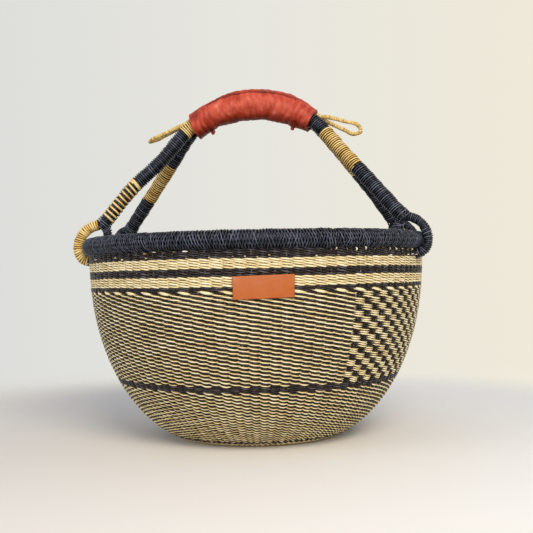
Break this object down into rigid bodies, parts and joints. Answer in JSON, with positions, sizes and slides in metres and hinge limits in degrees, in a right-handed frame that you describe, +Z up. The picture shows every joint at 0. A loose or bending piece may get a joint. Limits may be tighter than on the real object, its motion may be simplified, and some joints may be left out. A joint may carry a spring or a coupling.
{
  "type": "basket",
  "caption": "Round market basket of twined natural and dark straw with a whipped rim and an arched handle of two straw-wrapped legs each side that meet in a red leather grip",
  "frame": {"origin": "the middle of the flat base, on the surface that the basket stands on", "axes": "+X runs along the handle, -Y is the front with the label, +Z is up"},
  "size_m": [0.4109, 0.3988, 0.4003],
  "materials": {
    "woven_straw": "twined grass, natural and dyed",
    "natural_straw": "twisted natural grass",
    "dark_straw": "twisted grass dyed near black",
    "grass_stems": "bundled dry stems",
    "red_leather": "thin dyed goat leather, satin",
    "tan_leather": "smooth tan leather, bare"
  },
  "bodies": {
    "root": {"woven_bowl": "woven_straw", "rim_core": "grass_stems", "rim_wrap": "dark_straw", "label_patch": "tan_leather", "front_arch_core": "grass_stems", "left_front_wrap_upper": "natural_straw", "left_front_wrap_middle": "dark_straw", "left_front_wrap_lower": "dark_straw", "left_front_stripe_winding": "natural_straw", "right_front_wrap_upper": "dark_straw", "right_front_wrap_middle": "natural_straw", "right_front_wrap_lower": "dark_straw", "left_front_loop_winding": "natural_straw", "left_front_foot_loop": "dark_straw", "left_front_crotch_binding": "dark_straw", "right_front_foot_loop": "dark_straw", "right_front_crotch_binding": "dark_straw", "back_arch_core": "grass_stems", "left_back_wrap_upper": "dark_straw", "left_back_wrap_middle": "natural_straw", "left_back_wrap_lower": "dark_straw", "right_back_wrap_upper": "dark_straw", "right_back_wrap_middle": "natural_straw", "right_back_wrap_lower": "dark_straw", "left_back_foot_loop": "dark_straw", "left_back_crotch_binding": "dark_straw", "right_back_foot_loop": "dark_straw", "right_back_crotch_binding": "dark_straw", "grip_binding": "natural_straw", "grip_leather": "red_leather", "grip_collar_left": "red_leather", "grip_collar_right": "red_leather", "grip_seam_flap": "red_leather", "grip_knot_left": "red_leather", "grip_knot_right": "red_leather", "hang_loop_left": "natural_straw", "hang_loop_right": "natural_straw"}
  },
  "joints": []
}
